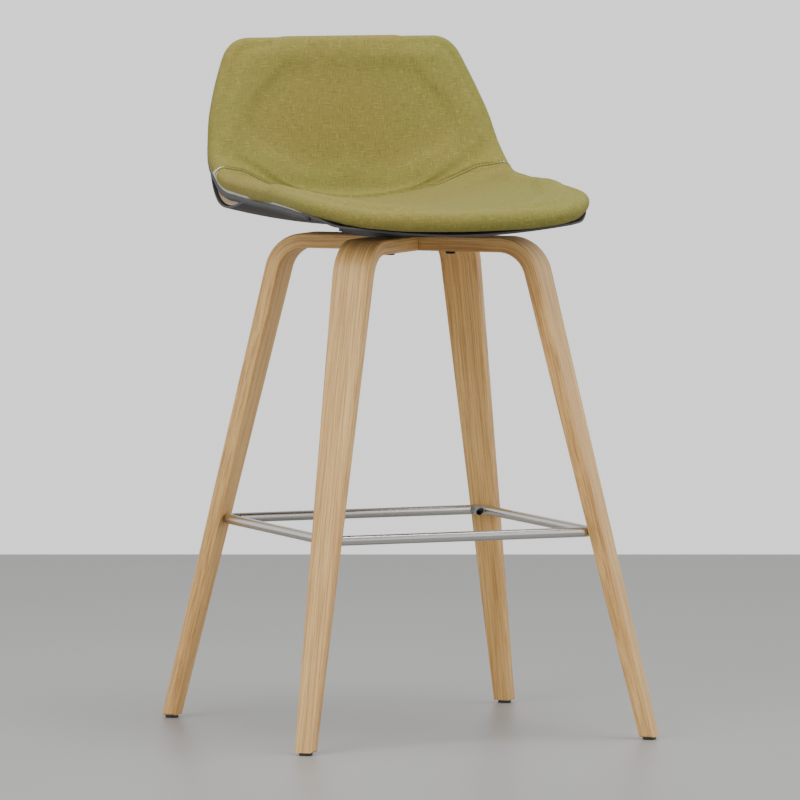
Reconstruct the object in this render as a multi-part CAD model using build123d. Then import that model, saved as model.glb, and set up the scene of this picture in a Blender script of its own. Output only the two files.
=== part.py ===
from build123d import *
import math
import os

# Bar stool: a low-backed padded bucket seat on four bent-wood legs, with a footrest ring.
# Millimetres, +Z up. The origin is on the floor under the middle; a sitter faces -Y.

# ---- Base ---------------------------------------------------------------------------
ARM_TOP = 700.0            # flat tops of the four arms that carry the seat
LEG_THICKNESS = 21.0
LEG_TILT = 14.58           # degrees that a leg leans inwards
FOOT_RADIUS = 377.9        # outer face of a leg, from the stool's axis, at the floor
FOOT_WIDTH = 26.0          # width of a leg at the floor
ARM_WIDTH = 56.0           # width of the arm and of the leg's upper end
TAPER_TOP = 655.0          # height at which the taper ends
BEND_RADIUS = 40.0         # inside radius of the bend from leg to arm
EDGE_RADIUS = 3.0          # softened long edges
MITRE_GAP = 0.25           # half the joint between two arms

LEG_DIRECTIONS = {
    "leg_front_right": 225.0,
    "leg_front_left": 315.0,
    "leg_rear_left": 45.0,
    "leg_rear_right": 135.0,
}

GLIDE_DIAMETER = 19.0
GLIDE_HEIGHT = 4.0
GLIDE_EDGE_RADIUS = 1.2
NAIL_DIAMETER = 2.5
NAIL_LENGTH = 18.0         # depth of its hole in the leg
NAIL_HEAD_RADIUS = 2.5
NAIL_HEAD_HEIGHT = 1.5

# ---- Footrest -----------------------------------------------------------------------
RING_HALF_SIDE = 199.5     # centre line of each side, from the stool's axis
RING_HEIGHT = 288.8
RING_DIAMETER = 14.0
RING_CORNER_RADIUS = 17.0  # centre line
FLAT_WIDTH = 22.0          # milled seat for the screw head
FLAT_DEPTH = 3.0           # how deep that seat is cut
RING_CLEARANCE = 0.2       # between a corner and its leg
RING_SCREW_DIAMETER = 5.0
RING_HEAD = 8.5
RING_HEAD_HEIGHT = 5.0
RING_SOCKET_RADIUS = 2.3
RING_SOCKET_DEPTH = 3.0
INSERT_DIAMETER = 9.0
INSERT_LENGTH = 12.0

# ---- Fixing of the seat -------------------------------------------------------------
PLATE_SIDE = 150.0
PLATE_THICKNESS = 3.0
PLATE_CORNER = 14.0
BOLT_RADIUS = 65.0         # bolts' distance from the stool's axis
BOLT_DIAMETER = 8.0
BOLT_HOLE_RADIUS = BOLT_DIAMETER / 2 + 0.25
BOLT_HEAD_DIAMETER = 14.0
BOLT_HEAD_HEIGHT = 3.0
BOLT_SOCKET_RADIUS = 2.9
BOLT_SOCKET_DEPTH = 2.0
WASHER_DIAMETER = 22.5
WASHER_HEIGHT = 1.8
WOOD_SCREW_DIAMETER = 4.0
WOOD_SCREW_HEAD = 8.0
WOOD_SCREW_OFFSET = 63.0
WOOD_SCREW_PAIR = 12.0
WOOD_SCREW_TIP = 721.0
TEE_NUT_BARREL = 10.0
TEE_NUT_FLANGE = 19.0
TEE_NUT_RIM = 1.5
TEE_NUT_LENGTH = 9.0
TEE_NUT_LEVEL = 721.5      # top of the barrel, under the flange
PLATE_TOP = ARM_TOP + PLATE_THICKNESS
BOSS_MARGIN = 4.0          # outer shell's flat boss, beyond the plate

# ---- Seat ---------------------------------------------------------------------------
# The sitter's side of the pad is a sheet through stations that run from the front edge to
# the top of the back: y and z on the centre line, then how far the sheet has moved
# backwards and up at the sides, then the hollow between pad and outer shell.
STATIONS = [
    (-262.0, 737.0, 0.0, 3.0, 0.0),
    (-205.0, 743.5, 0.0, 13.0, 1.0),
    (-120.0, 745.0, 0.0, 26.0, 4.0),
    (-20.0, 743.5, -2.0, 35.0, 5.5),
    (80.0, 742.5, -12.0, 40.0, 5.5),
    (150.0, 740.5, -45.0, 45.0, 4.0),
    (190.0, 741.5, -66.0, 46.0, 3.0),
    (208.0, 750.0, -68.0, 41.0, 2.0),
    (214.0, 768.0, -61.0, 28.0, 2.0),
    (218.0, 797.0, -42.0, 13.0, 2.0),
    (223.0, 840.0, -26.0, 9.0, 2.0),
    (230.0, 892.0, -15.0, 4.0, 1.0),
    (239.0, 952.0, -4.0, 0.0, 0.0),
    (247.0, 1002.0, 0.0, 0.0, 0.0),
]
SIDE_REACH = 230.0         # half-width at which the side movements above are reached
SIDE_POWER = 1.8
SHEET_HALF_WIDTH = 250.0
SHEET_COLUMNS = 17
SHEET_ROWS = 37
SEAM_STATION = 7           # where the back panel is sewn to the seat panel

COVER = 1.5                # fabric
PAD_DEPTH = 30.0           # fabric, foam and plywood at the rim
PLYWOOD = 10.0
PLYWOOD_INSET = 14.0       # foam roll round the plywood's edge
TUCK = 16.0                # fabric turned under the plywood
SHELL = 3.0                # outer shell
SHELL_CLEARANCE = 0.5      # under the pad
SHELL_INSET = 8.5
SHELL_FRONT = -205.0       # the shell ends behind the pad's front lip

# Outline seen from above (half) and from the front (half), with the corners' radii.
PLAN_OUTLINE = [(0, -227), (220, -227), (230, 100), (230, 400), (0, 400)]
PLAN_RADII = [0, 112, 200, 0, 0]
FRONT_OUTLINE = [(0, 500), (231, 500), (231, 795), (218, 862), (202, 907), (173, 974), (0, 974)]
FRONT_RADII = [0, 0, 150, 250, 250, 45, 0]


def turned(shape, angle):
    """The shape turned about the stool's axis."""
    return Rot(0, 0, angle) * shape


def rounded(face, corner, radius):
    """The flat face with one of its corners rounded."""
    return fillet(face.vertices().sort_by_distance((corner[0], corner[1], 0))[0], radius)


# ---- Legs: drawn in the XZ plane, the arm running from the axis along +X ---------------
def leg_inner_radius(z):
    """Distance of a leg's inner face from the stool's axis at a height."""
    tilt = math.radians(LEG_TILT)
    return FOOT_RADIUS - LEG_THICKNESS / math.cos(tilt) - z * math.tan(tilt)


def leg_side_profile():
    """The L-shaped side of a leg, with its bend."""
    tilt = math.radians(LEG_TILT)
    lean = math.tan(tilt)
    inner_top = ARM_TOP - LEG_THICKNESS
    outer_corner = (FOOT_RADIUS - ARM_TOP * lean, ARM_TOP)
    inner_corner = (leg_inner_radius(inner_top), inner_top)
    outline = Polyline(
        (0, inner_top),
        inner_corner,
        (leg_inner_radius(GLIDE_HEIGHT), GLIDE_HEIGHT),
        (FOOT_RADIUS - GLIDE_HEIGHT * lean, GLIDE_HEIGHT),
        outer_corner,
        (0, ARM_TOP),
        close=True,
    )
    face = make_face(outline)
    face = rounded(face, inner_corner, BEND_RADIUS)
    return rounded(face, outer_corner, BEND_RADIUS + LEG_THICKNESS)


def leg_width_profile():
    """The leg seen along its arm: tapered up to the bend, then parallel."""
    foot = FOOT_WIDTH / 2
    arm = ARM_WIDTH / 2
    points = [(-foot, 0), (foot, 0), (arm, TAPER_TOP), (arm, ARM_TOP + 5), (-arm, ARM_TOP + 5)]
    return make_face(Polyline(*points, (-arm, TAPER_TOP), close=True))


def make_leg():
    """One leg with its mitred arm end, bolt hole, insert hole and nail hole."""
    side = extrude(Plane.XZ * leg_side_profile(), ARM_WIDTH, both=True)
    front = extrude(Plane.YZ * leg_width_profile(), FOOT_RADIUS + 50)
    leg = side & front
    long_edges = [e for e in leg.edges() if abs(e.tangent_at(0.5).Y) < 0.2]
    long_edges = [e for e in long_edges if min(v.X for v in e.vertices()) > -0.1]
    leg = fillet(long_edges, EDGE_RADIUS)
    reach = 2 * FOOT_RADIUS
    mitre = [(MITRE_GAP * 2, 0), (reach, reach), (reach, -reach)]
    leg = leg & extrude(make_face(Polyline(*mitre, close=True)), ARM_TOP + 10)
    bolt_hole = Pos(BOLT_RADIUS, 0, ARM_TOP) * Cylinder(BOLT_HOLE_RADIUS, 4 * LEG_THICKNESS)
    insert = Pos(0, 0, INSERT_LENGTH / 2) * Cylinder(INSERT_DIAMETER / 2, INSERT_LENGTH)
    nail = Cylinder(NAIL_DIAMETER / 2, 2 * NAIL_LENGTH)
    return leg - bolt_hole - footrest_axis() * insert - foot_axis() * nail


def footrest_axis():
    """Where the footrest's screw enters the leg's inner face, with +Z into the leg."""
    origin = (leg_inner_radius(RING_HEIGHT), 0, RING_HEIGHT)
    tilt = math.radians(LEG_TILT)
    inward = (math.cos(tilt), 0, math.sin(tilt))
    return Plane(origin, x_dir=(0, 1, 0), z_dir=inward).location


def foot_axis():
    """The middle of a leg's lower end, with +Z up the leg."""
    tilt = math.radians(LEG_TILT)
    middle = leg_inner_radius(GLIDE_HEIGHT) + LEG_THICKNESS / math.cos(tilt) / 2
    upwards = (-math.sin(tilt), 0, math.cos(tilt))
    return Plane((middle, 0, GLIDE_HEIGHT), x_dir=(0, 1, 0), z_dir=upwards).location


def make_glide():
    """A round plastic glide under a foot, with a pocket for the nail's head."""
    centre = foot_axis().position
    glide = Pos(centre.X, 0, GLIDE_HEIGHT / 2) * Cylinder(GLIDE_DIAMETER / 2, GLIDE_HEIGHT)
    glide = fillet(glide.edges().group_by(Axis.Z)[0], GLIDE_EDGE_RADIUS)
    return glide - nail_head()


def nail_head():
    """The nail's flat head, sunk in the top of the glide."""
    level = GLIDE_HEIGHT - NAIL_HEAD_HEIGHT / 2
    return Pos(foot_axis().position.X, 0, level) * Cylinder(NAIL_HEAD_RADIUS, NAIL_HEAD_HEIGHT)


def make_nail():
    """The glide's nail: a flat head in the glide and a shank in the leg."""
    shank = foot_axis() * Cylinder(NAIL_DIAMETER / 2, 2 * NAIL_LENGTH - 2)
    below = Pos(foot_axis().position.X, 0, GLIDE_HEIGHT - NAIL_LENGTH) * Box(100, 100, 2 * NAIL_LENGTH)
    return nail_head() + (shank - below)


# ---- Footrest ring and its fasteners ---------------------------------------------------
def ring_flat_depth():
    """Depth of the screw's seat on a ring corner, measured from the leg's inner face."""
    corner = math.sqrt(2) * RING_HALF_SIDE - RING_CORNER_RADIUS * (math.sqrt(2) - 1)
    inner_side = corner - RING_DIAMETER / 2
    return leg_inner_radius(RING_HEIGHT) - inner_side - FLAT_DEPTH


def ring_corner_cut():
    """What is milled off a corner: its leg side, the screw head's seat and the hole."""
    leg_side = Pos(0, 0, 20 - RING_CLEARANCE) * Box(60, 60, 40)
    seat = Pos(0, 0, -ring_flat_depth() - 10) * Box(FLAT_WIDTH, 40, 20)
    hole = Cylinder(RING_SCREW_DIAMETER / 2 + 0.2, 60)
    return footrest_axis() * (leg_side + seat + hole)


def make_ring():
    """A square ring of round stainless bar with bent corners, milled flat at the legs."""
    centre = RING_HALF_SIDE - RING_CORNER_RADIUS
    bar = Cylinder(RING_DIAMETER / 2, 2 * centre)
    side = Pos(0, -RING_HALF_SIDE, RING_HEIGHT) * Rot(0, 90, 0) * bar
    end_plane = Plane((centre, -RING_HALF_SIDE, RING_HEIGHT), x_dir=(0, 1, 0), z_dir=(1, 0, 0))
    bend_axis = Axis((centre, -centre, 0), (0, 0, 1))
    bend = revolve(end_plane * Circle(RING_DIAMETER / 2), bend_axis, 90)
    quarter = side + bend
    ring = quarter + turned(quarter, 90) + turned(quarter, 180) + turned(quarter, 270)
    cut = ring_corner_cut()
    for angle in LEG_DIRECTIONS.values():
        ring = ring - turned(cut, angle)
    return ring


def make_ring_screw():
    """A socket-head screw through a ring corner into its insert."""
    depth = ring_flat_depth()
    head = Pos(0, 0, -depth - RING_HEAD_HEIGHT / 2) * Cylinder(RING_HEAD / 2, RING_HEAD_HEIGHT)
    head = fillet(head.edges().group_by(Axis.Z)[0], 0.6)
    socket = extrude(RegularPolygon(RING_SOCKET_RADIUS, 6), RING_SOCKET_DEPTH)
    socket = Pos(0, 0, -depth - RING_HEAD_HEIGHT) * socket
    length = depth + INSERT_LENGTH - 1
    shank = Pos(0, 0, length / 2 - depth) * Cylinder(RING_SCREW_DIAMETER / 2, length)
    return footrest_axis() * (head - socket + shank)


def make_insert():
    """A threaded brass insert in the leg."""
    sleeve = Cylinder(INSERT_DIAMETER / 2, INSERT_LENGTH)
    sleeve = sleeve - Cylinder(RING_SCREW_DIAMETER / 2, INSERT_LENGTH)
    return footrest_axis() * Pos(0, 0, INSERT_LENGTH / 2) * sleeve


# ---- Plate, bolts, washers and tee nuts ------------------------------------------------
def wood_screw_places():
    """The eight wood screws, in pairs between the arms."""
    sideways = (WOOD_SCREW_PAIR, -WOOD_SCREW_PAIR)
    return [(turn, y) for turn in range(0, 360, 90) for y in sideways]


def at_wood_screws(shape):
    """The shape repeated at the wood screws."""
    return [turned(Pos(WOOD_SCREW_OFFSET, y, 0) * shape, turn) for turn, y in wood_screw_places()]


def at_bolts(shape):
    """The shape repeated at the bolts."""
    return [turned(Pos(BOLT_RADIUS, 0, 0) * shape, angle) for angle in LEG_DIRECTIONS.values()]


def between(radius, low, high):
    """An upright cylinder between two heights."""
    return Pos(0, 0, (low + high) / 2) * Cylinder(radius, high - low)


def make_plate():
    """The steel plate between the arms and the seat."""
    plate = extrude(RectangleRounded(PLATE_SIDE, PLATE_SIDE, PLATE_CORNER), PLATE_THICKNESS)
    plate = Pos(0, 0, ARM_TOP) * plate
    for hole in at_bolts(between(BOLT_HOLE_RADIUS, ARM_TOP - 1, PLATE_TOP + 1)):
        plate = plate - hole
    for screw in at_wood_screws(make_wood_screw()):
        plate = plate - screw
    return plate


def make_wood_screw():
    """A countersunk wood screw from the plate up into the plywood."""
    sink = (WOOD_SCREW_HEAD - WOOD_SCREW_DIAMETER) / 2
    shank = between(WOOD_SCREW_DIAMETER / 2, ARM_TOP, WOOD_SCREW_TIP)
    head = Pos(0, 0, ARM_TOP + sink / 2) * Cone(WOOD_SCREW_HEAD / 2, WOOD_SCREW_DIAMETER / 2, sink)
    return shank + head


def make_bolt():
    """A button-head bolt from under the arm up into the tee nut."""
    seat = ARM_TOP - LEG_THICKNESS - WASHER_HEIGHT
    head = between(BOLT_HEAD_DIAMETER / 2, seat - BOLT_HEAD_HEIGHT, seat)
    head = fillet(head.edges().group_by(Axis.Z)[0], 2.0)
    socket = extrude(RegularPolygon(BOLT_SOCKET_RADIUS, 6), BOLT_SOCKET_DEPTH)
    socket = Pos(0, 0, seat - BOLT_HEAD_HEIGHT) * socket
    return head - socket + between(BOLT_DIAMETER / 2, seat, TEE_NUT_LEVEL)


def make_washer():
    """A domed washer between bolt head and arm."""
    top = ARM_TOP - LEG_THICKNESS
    washer = Pos(0, 0, top - WASHER_HEIGHT / 2)
    washer = washer * Cone(BOLT_HEAD_DIAMETER / 2 + 0.5, WASHER_DIAMETER / 2, WASHER_HEIGHT)
    return washer - between(BOLT_HOLE_RADIUS, top - 10, top + 10)


def make_tee_nut():
    """A tee nut: a barrel in the plywood and a flange in a recess on its upper side."""
    barrel = between(TEE_NUT_BARREL / 2, TEE_NUT_LEVEL - TEE_NUT_LENGTH, TEE_NUT_LEVEL)
    flange = between(TEE_NUT_FLANGE / 2, TEE_NUT_LEVEL, TEE_NUT_LEVEL + TEE_NUT_RIM)
    bore = between(BOLT_DIAMETER / 2, TEE_NUT_LEVEL - 20, TEE_NUT_LEVEL + 10)
    return barrel + flange - bore


# ---- Seat layers -----------------------------------------------------------------------
def station_curves():
    """Smooth curves through the stations: the centre line, and the movements at the sides."""
    run = [0.0]
    for before, after in zip(STATIONS, STATIONS[1:]):
        run.append(run[-1] + math.dist(before[:2], after[:2]))
    steps = [reached / run[-1] for reached in run]
    middle = Edge.make_spline([Vector(0, s[0], s[1]) for s in STATIONS], parameters=steps)
    sides = Edge.make_spline([Vector(s[4], s[2], s[3]) for s in STATIONS], parameters=steps)
    return middle, sides, steps[SEAM_STATION]


MIDDLE, SIDES, SEAM = station_curves()


def sheet_point(x, t):
    """A point of the pad's upper sheet, sideways by x and at t from front edge to top."""
    middle = MIDDLE.position_at(t, position_mode=PositionMode.PARAMETER)
    side = SIDES.position_at(t, position_mode=PositionMode.PARAMETER)
    share = (abs(x) / SIDE_REACH) ** SIDE_POWER
    return Vector(x, middle.Y + share * side.Y, middle.Z + share * side.Z)


def sheet_normal(x, t):
    """The direction away from the sitter at a point of the sheet."""
    step = 0.004
    start, end = max(t - step, 0.0), min(t + step, 1.0)
    along = sheet_point(x, end) - sheet_point(x, start)
    across = sheet_point(x + 1, t) - sheet_point(x - 1, t)
    return along.cross(across).normalized()


def sheet(depth, follow_gap=0.0, start=0.0):
    """The face at a depth below the pad's upper sheet, optionally lowered by the hollow."""
    rows = []
    for row in range(SHEET_ROWS):
        t = start + (1 - start) * row / (SHEET_ROWS - 1)
        gap = SIDES.position_at(t, position_mode=PositionMode.PARAMETER).X * follow_gap
        points = []
        for column in range(SHEET_COLUMNS):
            x = SHEET_HALF_WIDTH * (2 * column / (SHEET_COLUMNS - 1) - 1)
            deeper = gap * max(0.0, 1 - (x / SIDE_REACH) ** 2)
            points.append(sheet_point(x, t) + sheet_normal(x, t) * (depth + deeper))
        rows.append(points)
    return Face.make_surface_from_array_of_points(rows, tol=0.1, min_deg=3, max_deg=3)


def layer(upper, lower):
    """The solid between two sheets."""
    sides = [Face.make_surface_from_curves(a, b) for a, b in zip(upper.edges(), lower.edges())]
    return Solid(Shell([upper, lower, *sides]))


def half_outline(points, radii):
    """Half of an outline, with rounded corners, mirrored to a whole face."""
    face = make_face(Polyline(*points, close=True))
    for point, radius in zip(points, radii):
        if radius:
            face = rounded(face, point, radius)
    return face + mirror(face, Plane.YZ)


def seat_outline(inset):
    """What lies inside the seat's outline from above and from the front, less an inset."""
    plan = half_outline(PLAN_OUTLINE, PLAN_RADII)
    front = half_outline(FRONT_OUTLINE, FRONT_RADII)
    if inset:
        plan = offset(plan, -inset)
        front = offset(front, -inset)
    column = Pos(0, 0, 500) * extrude(plan, 600)
    slab = extrude(Plane.XZ * front, 500, both=True)
    return column & slab


def one_solid(shape):
    """The largest solid of a shape."""
    return max(shape.solids(), key=lambda solid: solid.volume)


def make_covers(envelope, core, opening):
    """The fabric bag, cut at the seam into a back panel and a seat panel."""
    bag = one_solid(envelope - core - opening)
    above_seam = layer(sheet(-6, start=SEAM), sheet(PAD_DEPTH + 6, start=SEAM))
    return one_solid(bag & above_seam), one_solid(bag - above_seam)


def make_outer_shell():
    """The moulded outer shell, with a flat boss for the plate and clearance holes."""
    depth = PAD_DEPTH + SHELL_CLEARANCE
    upper = sheet(depth, 1)
    lower = sheet(depth + SHELL, 1)
    shell = one_solid(layer(upper, lower) & seat_outline(SHELL_INSET))
    shell = shell - Pos(0, SHELL_FRONT - 500, PLATE_TOP) * Box(1000, 1000, 1000)
    below = layer(lower, sheet(depth + SHELL + 40, 1))
    side = PLATE_SIDE + 2 * BOSS_MARGIN
    boss = extrude(RectangleRounded(side, side, PLATE_CORNER + BOSS_MARGIN), 20)
    shell = shell + (Pos(0, 0, PLATE_TOP) * boss & below)
    shell = shell - Pos(0, 0, PLATE_TOP - 50) * Box(600, 600, 100)
    for hole in at_bolts(between(TEE_NUT_BARREL / 2 + 1, PLATE_TOP - 5, PLATE_TOP + 30)):
        shell = shell - hole
    screw_hole = between(WOOD_SCREW_DIAMETER / 2 + 0.3, PLATE_TOP - 5, WOOD_SCREW_TIP)
    for hole in at_wood_screws(screw_hole):
        shell = shell - hole
    return one_solid(shell)


def make_seat():
    """The cover's two panels, the foam, the plywood bucket and the outer shell."""
    plywood_top = sheet(PAD_DEPTH - COVER - PLYWOOD)
    plywood_bottom = sheet(PAD_DEPTH - COVER)
    pad_bottom = sheet(PAD_DEPTH)
    envelope = one_solid(layer(sheet(0), pad_bottom) & seat_outline(0))
    core = one_solid(layer(sheet(COVER), plywood_bottom) & seat_outline(COVER))
    plywood = one_solid(layer(plywood_top, plywood_bottom) & seat_outline(PLYWOOD_INSET))
    opening = layer(plywood_bottom, pad_bottom) & seat_outline(TUCK + PLYWOOD_INSET)
    back, seat = make_covers(envelope, core, opening)
    foam = one_solid(core - plywood)
    for hole in at_bolts(between(TEE_NUT_BARREL / 2, TEE_NUT_LEVEL - 30, TEE_NUT_LEVEL + 10)):
        plywood = plywood - hole
    for recess in at_bolts(between(TEE_NUT_FLANGE / 2 + 0.5, TEE_NUT_LEVEL, TEE_NUT_LEVEL + 20)):
        plywood = plywood - recess
    for hole in at_wood_screws(between(WOOD_SCREW_DIAMETER / 2, PLATE_TOP, WOOD_SCREW_TIP)):
        plywood = plywood - hole
    return {
        "seat_cover_back": back,
        "seat_cover_seat": seat,
        "seat_foam": foam,
        "seat_shell_inner": one_solid(plywood),
        "seat_shell_outer": make_outer_shell(),
    }


def write(name, shape):
    """Write one sub-part."""
    export_step(shape, "parts/" + name + ".step")


def group(pieces):
    """Separate solids that share one node."""
    return Compound(children=[piece.solid() for piece in pieces])


def main():
    os.makedirs("parts", exist_ok=True)
    leg = make_leg()
    glide = make_glide()
    for name, angle in LEG_DIRECTIONS.items():
        write(name, turned(leg, angle))
        write(name.replace("leg", "glide"), turned(glide, angle))
    angles = LEG_DIRECTIONS.values()
    nail = make_nail()
    screw = make_ring_screw()
    insert = make_insert()
    write("glide_nails", group([turned(nail, angle) for angle in angles]))
    write("footrest_ring", make_ring())
    write("footrest_screws", group([turned(screw, angle) for angle in angles]))
    write("footrest_inserts", group([turned(insert, angle) for angle in angles]))
    write("mounting_plate", make_plate())
    write("plate_screws", group(at_wood_screws(make_wood_screw())))
    write("seat_bolts", group(at_bolts(make_bolt())))
    write("bolt_washers", group(at_bolts(make_washer())))
    write("tee_nuts", group(at_bolts(make_tee_nut())))
    for name, shape in make_seat().items():
        write(name, shape)


main()
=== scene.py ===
import math

import bpy
import numpy as np
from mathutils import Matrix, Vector
from mathutils.bvhtree import BVHTree


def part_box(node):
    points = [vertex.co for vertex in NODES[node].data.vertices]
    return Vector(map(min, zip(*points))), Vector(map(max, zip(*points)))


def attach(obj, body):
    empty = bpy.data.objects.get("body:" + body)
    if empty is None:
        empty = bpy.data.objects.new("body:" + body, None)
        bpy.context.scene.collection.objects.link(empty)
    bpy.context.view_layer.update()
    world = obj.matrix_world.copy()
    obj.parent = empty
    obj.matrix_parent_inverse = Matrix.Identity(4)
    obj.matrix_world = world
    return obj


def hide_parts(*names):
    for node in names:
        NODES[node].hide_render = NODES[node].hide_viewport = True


# Bar stool with a footrest: the looks. Metres; the seat's own geometry is in millimetres
# until its meshes are made.
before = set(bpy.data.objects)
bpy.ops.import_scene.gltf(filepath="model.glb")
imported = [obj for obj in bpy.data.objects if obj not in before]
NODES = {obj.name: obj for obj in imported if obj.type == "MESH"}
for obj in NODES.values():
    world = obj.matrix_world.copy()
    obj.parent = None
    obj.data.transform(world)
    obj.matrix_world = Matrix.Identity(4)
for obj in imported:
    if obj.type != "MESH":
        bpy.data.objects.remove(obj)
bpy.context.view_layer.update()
ARM_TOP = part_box("leg_rear_left")[1].z

# ---- Camera, floor and lights ---------------------------------------------------------
CAMERA_PLACE = (-4.651, -11.282, 1.363)
CAMERA_HEADING = -22.352    # degrees
CAMERA_PITCH = 85.795
LENS = 389.86
FLOOR_FRONT = 9.0           # from the stool towards the camera
FLOOR_BACK = 2.7            # from the stool to the far edge
FLOOR_HALF_WIDTH = 6.0


def add_object(name, data):
    """Links a new object into the scene."""
    obj = bpy.data.objects.new(name, data)
    bpy.context.scene.collection.objects.link(obj)
    return obj


def add_camera():
    """The camera at the photograph's viewing angle."""
    data = bpy.data.cameras.new("camera")
    data.lens = LENS
    data.clip_end = 100
    camera = add_object("camera", data)
    camera.location = CAMERA_PLACE
    camera.rotation_euler = (math.radians(CAMERA_PITCH), 0, math.radians(CAMERA_HEADING))
    bpy.context.scene.camera = camera


def add_light(name, place, target, size, power):
    """A soft area light that points at a target."""
    data = bpy.data.lights.new(name, "AREA")
    data.shape = "RECTANGLE"
    data.size, data.size_y = size
    data.energy = power
    light = add_object(name, data)
    light.location = place
    aim = Vector(target) - Vector(place)
    light.rotation_euler = aim.to_track_quat("-Z", "Y").to_euler()


def in_view_frame(right, away, z):
    """A point given to the right of the stool and away from the camera."""
    heading = math.radians(CAMERA_HEADING)
    x = right * math.cos(heading) - away * math.sin(heading)
    y = right * math.sin(heading) + away * math.cos(heading)
    return (x, y, z)


# ---- Materials ------------------------------------------------------------------------
class Shader:
    """A node material with short calls for its nodes."""

    def __init__(self, name, colour, roughness, metallic=0.0, **sockets):
        self.material = bpy.data.materials.new(name)
        self.material.use_nodes = True
        self.tree = self.material.node_tree
        self.surface = self.tree.nodes["Principled BSDF"]
        self.surface.inputs["Base Color"].default_value = (*colour, 1)
        self.surface.inputs["Roughness"].default_value = roughness
        self.surface.inputs["Metallic"].default_value = metallic
        for socket, value in sockets.items():
            self.surface.inputs[socket.replace("_", " ")].default_value = value

    def node(self, kind, **inputs):
        """A node, with values or links for its inputs by name or place."""
        made = self.tree.nodes.new(kind)
        for key, value in inputs.items():
            self.feed(made, key, value)
        return made

    def feed(self, node, key, value):
        """Sets or links one input, given by name, or by place as in "i0"."""
        by_place = key[0] == "i" and key[1:].isdigit()
        place = int(key[1:]) if by_place else key.replace("_", " ")
        socket = node.inputs[place]
        if isinstance(value, bpy.types.NodeSocket):
            self.tree.links.new(value, socket)
        else:
            socket.default_value = value

    def math(self, operation, first, second=0.0, third=0.0):
        """A Math node's result."""
        made = self.tree.nodes.new("ShaderNodeMath")
        made.operation = operation
        for place, value in enumerate((first, second, third)):
            self.feed(made, "i%d" % place, value)
        return made.outputs[0]

    def ramp(self, value, *stops):
        """A colour ramp through (position, colour) stops."""
        made = self.node("ShaderNodeValToRGB", Fac=value)
        elements = made.color_ramp.elements
        while len(elements) < len(stops):
            elements.new(0.5)
        for element, (position, colour) in zip(elements, stops):
            element.position = position
            element.color = (*colour, 1) if len(colour) == 3 else colour
        return made.outputs[0]

    def noise(self, vector, scale, detail=3.0, roughness=0.5):
        """A noise texture's value."""
        made = self.node("ShaderNodeTexNoise", Vector=vector, Scale=scale, Detail=detail)
        made.inputs["Roughness"].default_value = roughness
        return made.outputs[0]

    def stretched(self, vector, scale, turn=(0, 0, 0)):
        """Coordinates turned, and scaled by axis."""
        made = self.node("ShaderNodeMapping", Vector=vector)
        made.inputs["Scale"].default_value = scale
        made.inputs["Rotation"].default_value = turn
        return made.outputs[0]

    def mix(self, share, first, second, blend="MIX"):
        """A colour mix."""
        made = self.tree.nodes.new("ShaderNodeMix")
        made.data_type = "RGBA"
        made.blend_type = blend
        self.feed(made, "i0", share)
        for key, value in (("i6", first), ("i7", second)):
            linked = isinstance(value, bpy.types.NodeSocket)
            self.feed(made, key, value if linked else (*value, 1))
        return made.outputs[2]

    def place(self):
        """The object's own coordinates."""
        return self.tree.nodes.new("ShaderNodeTexCoord").outputs["Object"]

    def colour(self, value):
        self.feed(self.surface, "Base_Color", value)

    def roughness(self, value):
        self.feed(self.surface, "Roughness", value)

    def bump(self, height, distance, strength=1.0):
        """Surface relief of a height in metres."""
        made = self.node("ShaderNodeBump", Height=height, Distance=distance, Strength=strength)
        self.feed(self.surface, "Normal", made.outputs[0])


LEG_TILT = math.radians(14.58)
FOOT_RADIUS = 0.3779        # from the axis to a leg's outer side, at the floor
BEND_OUTER = 0.061          # outer radius of a leg's bend
PLY_THICKNESS = 0.0021
OAK_LIGHT = (0.880, 0.560, 0.215)
OAK_MID = (0.790, 0.465, 0.158)
OAK_DARK = (0.600, 0.315, 0.095)


def bend_centre():
    """The centre of a leg's bend, as (distance from the axis, height)."""
    lean = math.tan(LEG_TILT)
    height = ARM_TOP - BEND_OUTER
    radius = FOOT_RADIUS - height * lean - BEND_OUTER / math.cos(LEG_TILT)
    return radius, height


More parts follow.
